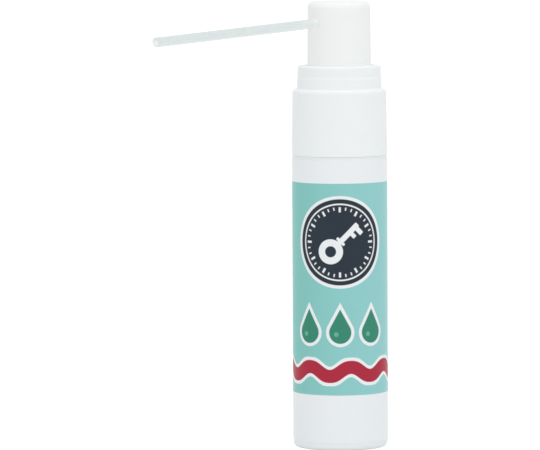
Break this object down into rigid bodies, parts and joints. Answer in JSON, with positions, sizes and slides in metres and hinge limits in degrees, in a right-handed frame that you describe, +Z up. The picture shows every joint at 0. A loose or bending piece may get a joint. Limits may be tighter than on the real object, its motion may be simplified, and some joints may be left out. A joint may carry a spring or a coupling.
{
  "type": "pocket lock lubricant aerosol",
  "caption": "Slim pocket aerosol of dry lock lubricant: round can with a printed sleeve, stepped collar, push button that turns on its valve, and a fine straw for keyholes.",
  "frame": {"origin": "middle of the can's foot, on the plane that it stands on", "axes": "+Z up along the can, the front of the label faces -Y, +X to the viewer's right"},
  "size_m": [0.0431, 0.0398, 0.0843],
  "materials": {
    "can_lacquer": "white gloss lacquer over drawn aluminium",
    "label_film": "printed gloss film, teal band on white",
    "collar_plastic": "moulded white, soft gloss",
    "button_plastic": "moulded white, satin",
    "straw_plastic": "drawn clear plastic",
    "bare_aluminium": "pressed sheet, satin",
    "gasket_rubber": "punched black rubber",
    "valve_plastic": "moulded natural acetal",
    "spring_steel": "drawn wire",
    "tube_plastic": "extruded natural polythene",
    "ball_steel": "polished steel"
  },
  "bodies": {
    "can": {"can": "can_lacquer", "label_sleeve": "label_film", "collar": "collar_plastic", "ferrule": "bare_aluminium", "neck_gasket": "gasket_rubber", "stem_gasket": "gasket_rubber", "valve_housing": "valve_plastic", "return_spring": "spring_steel", "dip_tube": "tube_plastic"},
    "stem": {"valve_stem": "valve_plastic"},
    "button": {"spray_button": "button_plastic"},
    "straw": {"straw": "straw_plastic"},
    "ball": {"agitator_ball": "ball_steel"}
  },
  "joints": [
    {"name": "press", "type": "slide", "parent": "can", "child": "stem", "axis": [0, 0, -1], "range_m": [0, 0.0016], "stiffness_N_per_m": 4000, "springref_m": -0.0015, "deforming": ["return_spring"]},
    {"name": "turn", "type": "hinge", "parent": "stem", "child": "button", "pos_m": [0, 0, 0.0672], "axis": [0, 0, 1], "continuous": true},
    {"name": "straw_pull", "type": "slide", "parent": "button", "child": "straw", "axis": [-0.7418, -0.6679, -0.061], "range_m": [0, 0.0045]},
    {"name": "ball_shake", "type": "slide", "parent": "can", "child": "ball", "axis": [0, 0, 1], "range_m": [0, 0.049]}
  ]
}
